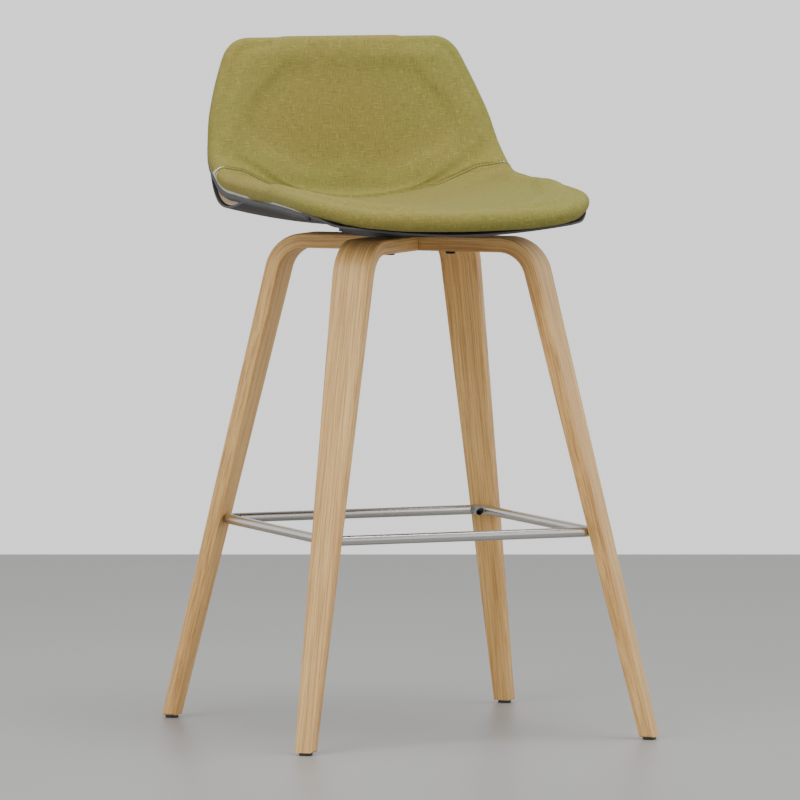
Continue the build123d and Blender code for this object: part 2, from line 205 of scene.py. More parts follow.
def oak(name, angle):
    """Bent laminated oak whose grain runs down one leg and round its bend."""
    shader = Shader(name, OAK_MID, 0.55, Coat_Weight=0.05, Coat_Roughness=0.4)
    turned = shader.stretched(shader.place(), (1, 1, 1), (0, 0, -math.radians(angle)))
    parts = shader.node("ShaderNodeSeparateXYZ", Vector=turned)
    radius, height = bend_centre()
    out = shader.math("SUBTRACT", parts.outputs[0], radius)
    up = shader.math("SUBTRACT", parts.outputs[2], height)
    bearing = shader.math("ARCTAN2", up, out)
    bearing = shader.math("MAXIMUM", shader.math("MINIMUM", bearing, math.pi / 2), LEG_TILT)
    cosine = shader.math("COSINE", bearing)
    sine = shader.math("SINE", bearing)
    layer = shader.math("MULTIPLY_ADD", out, cosine, shader.math("MULTIPLY", up, sine))
    across = shader.math("MULTIPLY", out, sine)
    run = shader.math("SUBTRACT", shader.math("MULTIPLY", up, cosine), across)
    run = shader.math("MULTIPLY_ADD", bearing, -BEND_OUTER, run)
    grain = shader.node("ShaderNodeCombineXYZ", X=run, Y=parts.outputs[1], Z=layer)
    grain_place = grain.outputs[0]
    broad = shader.noise(shader.stretched(grain_place, (2.2, 70, 55)), 1.0, 3.0, 0.55)
    streaks = shader.noise(shader.stretched(grain_place, (9, 620, 480)), 1.0, 3.0, 0.6)
    pores = shader.noise(shader.stretched(grain_place, (55, 2600, 1900)), 1.0, 2.0, 0.6)
    base = shader.ramp(broad, (0.28, OAK_DARK), (0.45, OAK_MID), (0.66, OAK_LIGHT))
    streak = shader.ramp(streaks, (0.38, (0.60, 0.52, 0.42)), (0.54, (1, 1, 1)))
    base = shader.mix(0.8, base, streak, "MULTIPLY")
    pore = shader.ramp(pores, (0.30, (0.45, 0.36, 0.28)), (0.42, (1, 1, 1)))
    base = shader.mix(0.55, base, pore, "MULTIPLY")
    plies = shader.math("FRACT", shader.math("MULTIPLY", layer, 1 / PLY_THICKNESS))
    glue = shader.ramp(plies, (0.0, (0.62, 0.55, 0.48)), (0.09, (1, 1, 1)))
    facing = shader.node("ShaderNodeNewGeometry").outputs["Normal"]
    sideways = shader.node("ShaderNodeVectorRotate", Vector=facing)
    sideways.rotation_type = "Z_AXIS"
    sideways.inputs["Angle"].default_value = -math.radians(angle)
    edge = shader.node("ShaderNodeSeparateXYZ", Vector=sideways.outputs[0]).outputs[1]
    edge = shader.math("GREATER_THAN", shader.math("ABSOLUTE", edge), 0.7)
    shader.colour(shader.mix(shader.math("MULTIPLY", edge, 0.55), base, glue, "MULTIPLY"))
    shader.roughness(shader.math("MULTIPLY_ADD", streaks, -0.25, 0.62))
    relief = shader.math("ADD", pores, shader.math("MULTIPLY", streaks, 0.6))
    shader.bump(relief, 0.00025, 0.5)
    return shader.material


FABRIC_YARN = (0.285, 0.232, 0.056)
FABRIC_GREEN = (0.252, 0.238, 0.054)
FABRIC_LIGHT = (0.500, 0.435, 0.130)
FABRIC_DARK = (0.150, 0.125, 0.028)
YARN_PITCH = 0.0011


def linen(name):
    """Slubby linen weave along the cover's own coordinates, which are in metres."""
    shader = Shader(name, FABRIC_YARN, 0.9, Sheen_Weight=0.12, Sheen_Roughness=0.45)
    shader.surface.inputs["Sheen Tint"].default_value = (0.90, 0.90, 0.42, 1)
    shader.surface.inputs["Specular IOR Level"].default_value = 0.25
    cloth = shader.node("ShaderNodeUVMap")
    cloth.uv_map = "weave"
    cloth = cloth.outputs[0]
    warps = shader.noise(cloth, 60.0, 2.0)
    wander = shader.math("MULTIPLY", shader.math("SUBTRACT", warps, 0.5), 0.0016)
    shift = shader.node("ShaderNodeCombineXYZ", X=wander, Y=wander)
    bent = shader.node("ShaderNodeVectorMath", i0=cloth, i1=shift.outputs[0]).outputs[0]
    parts = shader.node("ShaderNodeSeparateXYZ", Vector=bent)
    yarns = []
    for output in (0, 1):
        phase = shader.math("MULTIPLY", parts.outputs[output], math.pi / YARN_PITCH)
        yarns.append(shader.math("SINE", phase))
    crossing = shader.math("MULTIPLY", yarns[0], yarns[1])
    across = shader.noise(shader.stretched(bent, (75, 460, 1)), 1.0, 2.5, 0.6)
    along = shader.noise(shader.stretched(bent, (460, 75, 1)), 1.0, 2.5, 0.6)
    fine_across = shader.noise(shader.stretched(bent, (260, 2100, 1)), 1.0, 2.0)
    broad = shader.noise(shader.place(), 7.0, 2.0)
    green = shader.ramp(broad, (0.35, (0, 0, 0)), (0.68, (1, 1, 1)))
    base = shader.mix(green, FABRIC_YARN, FABRIC_GREEN)
    light = shader.math(
        "MAXIMUM",
        shader.ramp(across, (0.58, (0, 0, 0)), (0.68, (1, 1, 1))),
        shader.ramp(along, (0.59, (0, 0, 0)), (0.69, (1, 1, 1))),
    )
    dark = shader.math(
        "MAXIMUM",
        shader.ramp(across, (0.32, (1, 1, 1)), (0.42, (0, 0, 0))),
        shader.ramp(along, (0.32, (1, 1, 1)), (0.42, (0, 0, 0))),
    )
    base = shader.mix(shader.math("MULTIPLY", light, 0.42), base, FABRIC_LIGHT)
    base = shader.mix(shader.math("MULTIPLY", dark, 0.50), base, FABRIC_DARK)
    gaps = shader.ramp(crossing, (0.0, (0.80, 0.80, 0.76)), (0.5, (1, 1, 1)))
    base = shader.mix(0.8, base, gaps, "MULTIPLY")
    fibres = shader.ramp(fine_across, (0.3, (0.75,) * 3), (0.7, (1.15,) * 3))
    shader.colour(shader.mix(0.35, base, fibres, "MULTIPLY"))
    relief = shader.math("MULTIPLY_ADD", light, 0.9, shader.math("MULTIPLY", crossing, 0.5))
    shader.bump(shader.math("MULTIPLY_ADD", dark, -0.5, relief), 0.0004, 0.75)
    return shader.material


def moulded_plastic(name, colour, roughness, grain=900.0, relief=0.00012):
    """Plastic with a fine moulded texture and slight changes of tone."""
    shader = Shader(name, colour, roughness)
    grains = shader.noise(shader.place(), grain, 2.0, 0.6)
    cloud = shader.noise(shader.place(), 9.0, 3.0)
    lighter = tuple(min(1.0, channel * 1.25) for channel in colour)
    tone = shader.mix(cloud, tuple(channel * 0.86 for channel in colour), lighter)
    shader.colour(tone)
    shader.roughness(shader.math("MULTIPLY_ADD", cloud, 0.16, roughness - 0.08))
    shader.bump(grains, relief, 0.7)
    return shader.material


def metal(name, colour, roughness, stretch, relief=0.00004):
    """Metal with fine brushing along the stretched axis and faint smudges."""
    shader = Shader(name, colour, roughness, metallic=1.0)
    brushing = shader.noise(shader.stretched(shader.place(), stretch), 1.0, 3.0, 0.6)
    smudges = shader.noise(shader.place(), 22.0, 3.0)
    darker = tuple(channel * 0.82 for channel in colour)
    shader.colour(shader.mix(brushing, darker, colour))
    rough = shader.math("MULTIPLY_ADD", brushing, 0.12, roughness - 0.08)
    shader.roughness(shader.math("MULTIPLY_ADD", smudges, 0.10, rough))
    shader.bump(brushing, relief, 0.5)
    return shader.material


def plywood(name):
    """Birch plywood: plies by depth, grain along the seat."""
    shader = Shader(name, (0.62, 0.47, 0.29), 0.6)
    place = shader.place()
    grain = shader.noise(shader.stretched(place, (300, 9, 120)), 1.0, 4.0, 0.6)
    plies = shader.noise(shader.stretched(place, (30, 30, 900)), 1.0, 1.0)
    base = shader.ramp(grain, (0.3, (0.45, 0.30, 0.16)), (0.6, (0.66, 0.50, 0.31)))
    layers = shader.ramp(plies, (0.4, (0.6,) * 3), (0.6, (1,) * 3))
    shader.colour(shader.mix(0.4, base, layers, "MULTIPLY"))
    shader.bump(grain, 0.0002, 0.5)
    return shader.material


def thread(name):
    """Twisted sewing thread."""
    shader = Shader(name, (0.12, 0.115, 0.03), 0.75, Sheen_Weight=0.2)
    twist = shader.noise(shader.stretched(shader.place(), (1400, 1400, 1400)), 1.0, 2.0)
    shader.colour(shader.ramp(twist, (0.3, (0.075, 0.070, 0.018)), (0.7, (0.17, 0.16, 0.045))))
    shader.bump(twist, 0.0001, 0.6)
    return shader.material


def foam(name):
    """Open-celled foam."""
    shader = Shader(name, (0.62, 0.60, 0.52), 0.95)
    cells = shader.node("ShaderNodeTexVoronoi", Vector=shader.place(), Scale=700.0).outputs[0]
    shader.colour(shader.ramp(cells, (0.1, (0.42, 0.40, 0.33)), (0.5, (0.66, 0.64, 0.56))))
    shader.bump(cells, 0.0004, 0.7)
    return shader.material


LEG_ANGLES = {"front_right": 225, "front_left": 315, "rear_left": 45, "rear_right": 135}
ZINC = (0.62, 0.63, 0.65)


def paint_nodes():
    """Gives every CAD node its material."""
    for name, angle in LEG_ANGLES.items():
        paint("leg_" + name, oak("oak_" + name, angle))
    glide = moulded_plastic("glide_plastic", (0.035, 0.034, 0.033), 0.55)
    stainless = metal("stainless", (0.62, 0.61, 0.59), 0.22, (1100, 1100, 1600))
    black = metal("black_oxide", (0.030, 0.030, 0.031), 0.42, (900, 900, 900))
    plate = moulded_plastic("powder_coat", (0.020, 0.020, 0.021), 0.5, 1500.0)
    finishes = {
        "glide_front_right": glide,
        "glide_front_left": glide,
        "glide_rear_left": glide,
        "glide_rear_right": glide,
        "glide_nails": metal("zinc", ZINC, 0.35, (900, 900, 900)),
        "footrest_ring": stainless,
        "footrest_screws": black,
        "footrest_inserts": metal("brass", (0.72, 0.52, 0.22), 0.35, (900, 900, 900)),
        "mounting_plate": plate,
        "plate_screws": metal("zinc_screws", ZINC, 0.35, (900, 900, 900)),
        "seat_bolts": black,
        "bolt_washers": black,
        "tee_nuts": metal("zinc_nuts", ZINC, 0.35, (900, 900, 900)),
        "seat_shell_inner": plywood("birch_plywood"),
        "seat_shell_outer": moulded_plastic("shell_plastic", (0.062, 0.059, 0.060), 0.62),
        "seat_foam": foam("foam"),
        "seat_cover_back": linen("linen_cad_back"),
        "seat_cover_seat": linen("linen_cad_seat"),
    }
    for name, material in finishes.items():
        paint(name, material)


def paint(node, material):
    """Puts one material in all the slots of a node."""
    slots = NODES[node].data.materials
    if not len(slots):
        slots.append(material)
    for place in range(len(slots)):
        slots[place] = material


# ---- The pad's surface (millimetres) ----------------------------------------------------
# Stations from front edge to top: y and z on the centre line, then how far the sheet has
# moved backwards and up at the sides.
STATIONS = np.array([
    (-262.0, 737.0, 0.0, 3.0),
    (-205.0, 743.5, 0.0, 13.0),
    (-120.0, 745.0, 0.0, 26.0),
    (-20.0, 743.5, -2.0, 35.0),
    (80.0, 742.5, -12.0, 40.0),
    (150.0, 740.5, -45.0, 45.0),
    (190.0, 741.5, -66.0, 46.0),
    (208.0, 750.0, -68.0, 41.0),
    (214.0, 768.0, -61.0, 28.0),
    (218.0, 797.0, -42.0, 13.0),
    (223.0, 840.0, -26.0, 9.0),
    (230.0, 892.0, -15.0, 4.0),
    (239.0, 952.0, -4.0, 0.0),
    (247.0, 1002.0, 0.0, 0.0),
])
SEAM_STATION = 6
SEAM_RISE = 44.0            # how much further up the seam runs at the sides
SEAM_REACH = 180.0
SIDE_REACH = 230.0          # half-width at which the side movements above are reached
SIDE_POWER = 1.8
PAD_DEPTH = 30.0
ROLL_DEPTH = 27.0           # of the fabric roll along the sides and the back
ROLL_WIDTH = 14.0
FRONT_START = -205.0        # the roll deepens from here to the front edge
FRONT_BLEND = 25.0          # length over which it does so
WALL_INSET = 9.0            # the roll ends this far in, on the shell's upright edge
EDGE_PROFILE = (            # of that edge: depth and inset, round its section
    (25.6, 8.8), (25.6, 10.6), (26.4, 11.6), (30.0, 12.0), (33.4, 12.2),
    (34.0, 11.2), (33.7, 9.8), (32.6, 8.4), (30.0, 8.0), (26.4, 8.2),
)
EDGE_FRONT = -150.0         # where that edge ends towards the front
SWELL_ROOM = 5.0            # how far the underside is raised from the pad's full depth
COVER_INSET = 0.8           # the cover before it swells
FOAM_INSET = 3.0
RIM_SEGMENTS = 12
COLUMNS = 68
ROW_STEP = 8.0
BEARINGS = 1440             # at which the rim is looked for, round the seat
SHEET_MARGIN = 4.0          # unused at the sheet's front and top ends
SEAM_STEPS = (0.9, 1.8, 2.8, 3.9, 5.0, 6.1, 7.6, 9.8, 13.0, 17.5, 23.5)

# The seat's outline from above: its front, corners and half-widths at the front and back.
PLAN_FRONT = -227.0
PLAN_CORNER = 112.0
PLAN_WIDEST = 100.0
PLAN_HALF_WIDTHS = (220.0, 230.0)
# Its outline from the front: half-widths at levels, and the top corners' radius.
FRONT_LEVELS = (795, 862, 907, 974)
FRONT_HALF_WIDTHS = (231, 218, 202, 173)
FRONT_CORNER = 45.0
FRONT_SMOOTHING = 31        # levels averaged, 1 mm apart


def spline(knots, values, at):
    """Natural cubic spline through values at knots, evaluated for an array."""
    gaps = np.diff(knots)
    slopes = np.diff(values, axis=0) / gaps[:, None]
    count = len(knots)
    system = np.eye(count)
    right = np.zeros_like(values)
    for k in range(1, count - 1):
        system[k, k - 1:k + 2] = (gaps[k - 1], 2 * (gaps[k - 1] + gaps[k]), gaps[k])
        right[k] = 6 * (slopes[k] - slopes[k - 1])
    curve = np.linalg.solve(system, right)
    k = np.clip(np.searchsorted(knots, at, side="right") - 1, 0, count - 2)
    after = ((at - knots[k]) / gaps[k])[..., None]
    before = 1 - after
    bend = (before ** 3 - before) * curve[k] + (after ** 3 - after) * curve[k + 1]
    return before * values[k] + after * values[k + 1] + bend * gaps[k][..., None] ** 2 / 6


KNOTS = np.concatenate([[0], np.cumsum(np.hypot(*np.diff(STATIONS[:, :2], axis=0).T))])
SEAM = KNOTS[SEAM_STATION]


def seam_at(x):
    """Where the seam lies along the centre line's length, x sideways."""
    return SEAM + SEAM_RISE * np.minimum(np.abs(x) / SEAM_REACH, 1.0) ** 2


def surface(x, s):
    """The pad's upper surface at x sideways and s along the centre line."""
    line = spline(KNOTS, STATIONS, s)
    share = (np.abs(x) / SIDE_REACH) ** SIDE_POWER
    y = line[..., 0] + share * line[..., 2]
    z = line[..., 1] + share * line[..., 3]
    return np.stack([x, y, z], axis=-1)


def inward(x, s):
    """The unit direction away from the sitter."""
    along = surface(x, s + 3) - surface(x, s - 3)
    across = surface(x + 1, s) - surface(x - 1, s)
    normal = np.cross(along, across)
    return normal / np.linalg.norm(normal, axis=-1, keepdims=True)


def at_depth(x, s, depth):
    """A point below the pad's upper surface."""
    return surface(x, s) + inward(x, s) * depth


def half_width(y, z):
    """Half the seat's width allowed by its outlines from above and from the front."""
    at_front, at_back = PLAN_HALF_WIDTHS
    widening = (at_back - at_front) * (y - PLAN_FRONT) / (PLAN_WIDEST - PLAN_FRONT)
    side = np.minimum(at_front + widening, at_back)
    ahead = np.clip(PLAN_FRONT + PLAN_CORNER - y, 0, PLAN_CORNER)
    rounding = np.sqrt(np.clip(PLAN_CORNER ** 2 - ahead ** 2, 0, None)) - PLAN_CORNER
    plan = np.where(y < PLAN_FRONT, -1, side + rounding)
    heights = np.arange(700.0, 1021.0)
    edge = np.interp(heights, FRONT_LEVELS, FRONT_HALF_WIDTHS)
    kernel = np.ones(FRONT_SMOOTHING) / FRONT_SMOOTHING
    padded = np.pad(edge, FRONT_SMOOTHING // 2, mode="edge")
    front = np.interp(z, heights, np.convolve(padded, kernel, mode="valid"))
    top_level, top_width = FRONT_LEVELS[-1], FRONT_HALF_WIDTHS[-1]
    level = top_level - FRONT_CORNER
    lean = math.atan2(FRONT_HALF_WIDTHS[-2] - top_width, top_level - FRONT_LEVELS[-2])
    centre = top_width - (FRONT_CORNER - FRONT_CORNER * math.sin(lean)) / math.cos(lean)
    above = np.clip(z - level, 0, FRONT_CORNER)
    top = centre + np.sqrt(np.clip(FRONT_CORNER ** 2 - above ** 2, 0, None))
    in_corner = z > level + FRONT_CORNER * math.sin(lean)
    front = np.where(in_corner, np.minimum(front, top), front)
    return np.minimum(plan, np.where(z > top_level, -1, front))


def outline():
    """The pad's rim in the sheet's coordinates: its outermost line, the line where the
    roll begins, and the direction away from the seat."""
    first, last = SHEET_MARGIN, KNOTS[-1] - SHEET_MARGIN
    bearing = np.linspace(-math.pi / 2, 1.5 * math.pi, BEARINGS + 1)[:-1]
    direction = np.stack([np.cos(bearing), np.sin(bearing)], axis=-1)
    centre = np.array([0.0, SEAM - 20])
    near = np.zeros(len(bearing))
    far = np.full(len(bearing), 420.0)
    for _ in range(40):
        middle = (near + far) / 2
        spot = centre + direction * middle[:, None]
        point = at_depth(spot[:, 0], np.clip(spot[:, 1], first, last), ROLL_DEPTH / 2)
        over = (spot[:, 1] < first) | (spot[:, 1] > last)
        inside = (np.abs(point[:, 0]) <= half_width(point[:, 1], point[:, 2])) & ~over
        near = np.where(inside, middle, near)
        far = np.where(inside, far, middle)
    outer = centre + direction * near[:, None]
    kernel = np.hanning(15)
    kernel /= kernel.sum()
    for axis in (0, 1):
        padded = np.pad(outer[:, axis], 7, mode="wrap")
        outer[:, axis] = np.convolve(padded, kernel, mode="valid")
    tangent = np.roll(outer, -1, axis=0) - np.roll(outer, 1, axis=0)
    away = np.stack([tangent[:, 1], -tangent[:, 0]], axis=-1)
    away /= np.linalg.norm(away, axis=-1, keepdims=True)
    rim = at_depth(*outer.T, ROLL_DEPTH / 2)
    trial = outer - away * ROLL_WIDTH
    reach = np.linalg.norm(rim - at_depth(*trial.T, ROLL_DEPTH / 2), axis=-1)
    inner = outer - away * (ROLL_WIDTH * ROLL_WIDTH / reach)[:, None]
    return outer, inner, away


def resample(points, shares):
    """Points at shares of a polyline's length."""
    steps = np.linalg.norm(np.diff(points[:, :2], axis=0), axis=-1)
    length = np.concatenate([[0], np.cumsum(steps)])
    at = np.asarray(shares) * length[-1]
    return np.stack([np.interp(at, length, values) for values in points.T], axis=-1)


def coons(front, back, left, right, shares):
    """A grid filled in between four edges."""
    a = np.linspace(0, 1, len(front))[None, :, None]
    b = np.asarray(shares)[:, None, None]
    edges = (1 - b) * front[None] + b * back[None] + (1 - a) * left[:, None] + a * right[:, None]
    corners = (1 - a) * (1 - b) * front[0] + a * (1 - b) * front[-1]
    corners = corners + (1 - a) * b * back[0] + a * b * back[-1]
    return edges - corners


def seam_shares(length):
    """Shares of a panel's side from the seam outwards, close together near the seam."""
    near = (0.0, *SEAM_STEPS)
    rest = np.linspace(near[-1], length, int((length - near[-1]) / ROW_STEP) + 1)[1:]
    return np.concatenate([near, rest]) / length


def pad_grid():
    """Grid of sheet coordinates, rows from front to top, then the rim's lines round its
    boundary, and the seam's row."""
    outer, inner, away = outline()
    joined = np.concatenate([inner, outer, away], axis=-1)
    half = joined[:len(joined) // 2 + 1]
    tangent = np.diff(half[:, :2], axis=0)
    turn = np.degrees(np.arctan2(tangent[:, 1], tangent[:, 0]))
    front_corner = int(np.argmax(turn > 45))
    top_corner = int(np.argmax(turn > 140))
    beyond = half[:, 1] - seam_at(half[:, 0])
    seam_end = int(np.argmax(beyond > 0))
    share = -beyond[seam_end - 1] / (beyond[seam_end] - beyond[seam_end - 1])
    end = half[seam_end - 1] * (1 - share) + half[seam_end] * share
    lower = np.concatenate([half[front_corner:seam_end], end[None]])
    upper = np.concatenate([end[None], half[seam_end:top_corner + 1]])
    columns = np.linspace(0, 1, COLUMNS + 1)
    flip = np.array((-1, 1, -1, 1, -1, 1))
    mirrored = half * flip
    ends = np.concatenate([mirrored[front_corner:0:-1], half[:front_corner + 1]])
    front = resample(ends, columns)
    ends = np.concatenate([mirrored[top_corner:], half[top_corner:][::-1]])
    top = resample(ends, columns)
    across = np.linspace(-end[0], end[0], COLUMNS + 1)
    seam = np.stack([across, seam_at(across)], axis=-1)
    length = np.linalg.norm(np.diff(lower[:, :2], axis=0), axis=-1).sum()
    low_shares = 1 - seam_shares(length)[::-1]
    low_right = resample(lower, low_shares)
    length = np.linalg.norm(np.diff(upper[:, :2], axis=0), axis=-1).sum()
    high_shares = seam_shares(length)
    high_right = resample(upper, high_shares)
    low = coons(front[:, :2], seam, (low_right * flip)[:, :2], low_right[:, :2], low_shares)
    high = coons(seam, top[:, :2], (high_right * flip)[:, :2], high_right[:, :2], high_shares)
    grid = np.concatenate([low, high[1:]])
    side = np.concatenate([low_right, high_right[1:]])
    loop = np.concatenate([front[:-1], side[:-1], top[::-1][:-1], (side * flip)[::-1][:-1]])
    return grid, loop, len(low) - 1


class Pad:
    """The closed pad: upper face, rolled rim and underside, all in quads."""

    def __init__(self, inset):
        grid, loop, self.seam_row = pad_grid()
        self.rows, self.columns = grid.shape[:2]
        flat = grid.reshape(-1, 2)
        upper = at_depth(*flat.T, inset)
        lower = at_depth(*flat.T, PAD_DEPTH - SWELL_ROOM)
        self.centre = surface(*loop[:, :2].T)
        self.normal = inward(*loop[:, :2].T)
        self.outward = surface(*loop[:, 2:4].T) - self.centre
        ahead = FRONT_START + FRONT_BLEND - (self.centre + self.outward)[:, 1]
        front = np.clip(ahead / FRONT_BLEND, 0, 1)[:, None]
        depth = ROLL_DEPTH + (PAD_DEPTH - ROLL_DEPTH) * front
        middle = self.rim_point(ROLL_DEPTH / 2, inset)
        under_middle = self.rim_point(ROLL_DEPTH / 2, WALL_INSET + inset)
        under = self.rim_point(ROLL_DEPTH, WALL_INSET + inset)
        share = 1 - inset / ROLL_WIDTH
        rim, rim_uv = [], []
        for step in range(1, RIM_SEGMENTS):
            angle = math.pi / 2 - math.pi * step / RIM_SEGMENTS
            sideways, rise = math.cos(angle), math.sin(angle)
            down = depth / 2 * (1 - rise) + inset * rise
            full = self.centre + self.outward * sideways * share + self.normal * down
            if angle < 0:
                tucked = under_middle + (middle - under_middle) * sideways
                tucked = tucked + (under - under_middle) * -rise
            else:
                base = self.centre + self.normal * ROLL_DEPTH / 2
                up = self.normal * (ROLL_DEPTH / 2 - inset)
                tucked = base + (middle - base) * sideways - up * rise
            rim.append(tucked + (full - tucked) * front)
            rim_uv.append(loop[:, :2] + loop[:, 4:6] * ROLL_WIDTH * (math.pi / 2 - angle))
        self.points = np.concatenate([upper, *rim, lower])
        under_uv = flat + (0.0, 2 * KNOTS[-1])
        self.uv = np.concatenate([flat, *rim_uv, under_uv])
        self.loop_count = len(loop)
        self.top_count = len(flat)
        self.faces, self.face_row = self.make_faces()

    def rim_point(self, depth, margin):
        """Points at a depth, as far out as the seat's outlines less a margin allow."""
        near = np.full((len(self.centre), 1), -0.5)
        far = np.full((len(self.centre), 1), 1.8)
        for _ in range(24):
            share = (near + far) / 2
            point = self.centre + self.outward * share + self.normal * depth
            room = half_width(point[:, 1] - margin, point[:, 2] + margin) - margin
            inside = (np.abs(point[:, 0]) <= room)[:, None]
            near, far = np.where(inside, share, near), np.where(inside, far, share)
        return self.centre + self.outward * near + self.normal * depth

    def vertex(self, row, column):
        """A vertex of the upper face."""
        return row * self.columns + column

    def boundary(self):
        """The upper face's boundary, in the loop's order, as rows and columns."""
        last_row, last_column = self.rows - 1, self.columns - 1
        spots = [(0, c) for c in range(last_column)]
        spots += [(r, last_column) for r in range(last_row)]
        spots += [(last_row, c) for c in range(last_column, 0, -1)]
        spots += [(r, 0) for r in range(last_row, 0, -1)]
        return spots

    def make_faces(self):
        """Quads, and the lower of the rows that each one lies between."""
        faces, face_row = [], []
        under = self.top_count + self.loop_count * (RIM_SEGMENTS - 1)
        for row in range(self.rows - 1):
            for column in range(self.columns - 1):
                quad = [self.vertex(row, column), self.vertex(row, column + 1)]
                quad += [self.vertex(row + 1, column + 1), self.vertex(row + 1, column)]
                faces.append(quad)
                faces.append([under + v for v in reversed(quad)])
                face_row += [row, row]
        spots = self.boundary()
        rings = [[self.vertex(*spot) for spot in spots]]
        for step in range(RIM_SEGMENTS - 1):
            start = self.top_count + step * self.loop_count
            rings.append([start + k for k in range(self.loop_count)])
        rings.append([under + v for v in rings[0]])
        for before, after in zip(rings, rings[1:]):
            for k in range(self.loop_count):
                following = (k + 1) % self.loop_count
                faces.append([before[following], before[k], after[k], after[following]])
                face_row.append(min(spots[k][0], spots[following][0]))
        return faces, face_row

    def strip(self, row):
        """The vertices of one row, from the left rim's underside to the right one's."""
        spots = self.boundary()
        right = spots.index((row, self.columns - 1))
        left = spots.index((row, 0))
        rims = range(RIM_SEGMENTS - 1)
        places = [self.top_count + step * self.loop_count + left for step in reversed(rims)]
        places += [self.vertex(row, column) for column in range(self.columns)]
        return places + [self.top_count + step * self.loop_count + right for step in rims]


def mesh_object(name, points, faces, uv=None):
    """A smooth-shaded mesh object from millimetres, with the weave's coordinates in metres."""
    mesh = bpy.data.meshes.new(name)
    mesh.from_pydata((points * 0.001).tolist(), [], [list(map(int, face)) for face in faces])
    if uv is not None:
        layer = mesh.uv_layers.new(name="weave")
        corners = np.empty(len(mesh.loops), dtype=np.int32)
        mesh.loops.foreach_get("vertex_index", corners)
        layer.data.foreach_set("uv", (uv[corners] * 0.001).ravel())
    mesh.polygons.foreach_set("use_smooth", [True] * len(mesh.polygons))
    mesh.update()
    return add_object(name, mesh)


# ---- Filling the pad ----------------------------------------------------------------------
VOXEL = 0.0055
PRESSURE = 4.0
FRAMES = 20
STIFFNESS = 25
BENDING = 4
SEAM_HOLD = 0.009           # how far from the seam the cloth is held
PROBE = 0.018               # how far the swollen cloth is looked for, both ways
SWELL_LIMIT = 4.5           # millimetres
SINK_LIMIT = 1.5


def vertex_normals(points, faces):
    """Unit vertex normals."""
    quads = np.array(faces)
    first = points[quads[:, 2]] - points[quads[:, 0]]
    second = points[quads[:, 3]] - points[quads[:, 1]]
    normal = np.cross(first, second)
    total = np.zeros_like(points)
    for corner in range(4):
        np.add.at(total, quads[:, corner], normal)
    return total / np.linalg.norm(total, axis=-1, keepdims=True)


def smoothed(values, faces, rounds):
    """Values averaged with their neighbours."""
    quads = np.array(faces)
    for _ in range(rounds):
        total = np.zeros_like(values)
        count = np.zeros(len(values))
        for corner in range(4):
            for other in (1, 3):
                np.add.at(total, quads[:, corner], values[quads[:, (corner + other) % 4]])
                np.add.at(count, quads[:, corner], 1)
        values = 0.5 * values + 0.5 * total / count
    return values


def fill_cover(pad):
    """Swells the pad with a cloth simulation and moves its vertices to the result."""
    shape = mesh_object("pad_simulated", pad.points, pad.faces)
    remesh = shape.modifiers.new("remesh", "REMESH")
    remesh.mode = "VOXEL"
    remesh.voxel_size = VOXEL
    bpy.context.view_layer.objects.active = shape
    shape.select_set(True)
    bpy.ops.object.modifier_apply(modifier="remesh")
    held = shape.vertex_groups.new(name="held")
    seam_line = pad.points[pad.strip(pad.seam_row)] * 0.001
    for vertex in shape.data.vertices:
        gap = np.min(np.linalg.norm(seam_line - np.array(vertex.co), axis=-1))
        held.add([vertex.index], max(0.0, 1 - gap / SEAM_HOLD), "REPLACE")
    cloth = shape.modifiers.new("cloth", "CLOTH")
    settings = cloth.settings
    settings.use_pressure = True
    settings.uniform_pressure_force = PRESSURE
    settings.effector_weights.gravity = 0
    settings.vertex_group_mass = "held"
    settings.tension_stiffness = settings.compression_stiffness = STIFFNESS
    settings.bending_stiffness = BENDING
    scene = bpy.context.scene
    for number in range(1, FRAMES + 1):
        scene.frame_set(number)
    bpy.ops.object.modifier_apply(modifier="cloth")
    scene.frame_set(1)
    mesh = shape.data
    polygons = [tuple(polygon.vertices) for polygon in mesh.polygons]
    tree = BVHTree.FromPolygons([vertex.co for vertex in mesh.vertices], polygons)
    normals = vertex_normals(pad.points, pad.faces)
    swell = np.zeros(len(pad.points))
    for index, (point, normal) in enumerate(zip(pad.points * 0.001, normals)):
        direction = Vector(normal)
        hit = tree.ray_cast(Vector(point) + direction * PROBE, -direction, 2 * PROBE)
        if hit[0] is not None:
            swell[index] = (PROBE - hit[3]) * 1000
    swell = np.clip(smoothed(swell, pad.faces, 6), -SINK_LIMIT, SWELL_LIMIT)
    under = pad.top_count + pad.loop_count * (RIM_SEGMENTS - 3)
    swell[under:] = np.minimum(swell[under:], 0)
    pad.points = pad.points + normals * swell[:, None]
    bpy.data.objects.remove(shape)


# ---- The seam and its stitches --------------------------------------------------------------
STITCH_ROW = -5.0           # from the seam, on the seat panel
STITCH_LENGTH = 3.6
STITCH_PITCH = 4.8
THREAD_RADIUS = 0.55
THREAD_LIFT = 0.25
THREAD_SIDES = 8
THREAD_RINGS = 7
ALLOWANCE = 3.5             # of each panel, turned in at the seam
RELIEF = (                  # across the seam: height, place and half-width
    (-1.5, 0.0, 1.2),
    (-0.9, STITCH_ROW, 1.1),
    (0.6, STITCH_ROW / 2, 1.6),
    (-0.8, 0.0, 7.0),
)


def seam_distances(pad):
    """Each row-strip's vertices and their distance from the seam, negative on the seat."""
    rows = range(pad.seam_row - len(SEAM_STEPS), pad.seam_row + len(SEAM_STEPS) + 1)
    strips = np.array([pad.strip(row) for row in rows])
    steps = np.linalg.norm(np.diff(pad.points[strips], axis=0), axis=-1)
    run = np.concatenate([np.zeros((1, steps.shape[1])), np.cumsum(steps, axis=0)])
    return strips, run - run[len(SEAM_STEPS)]


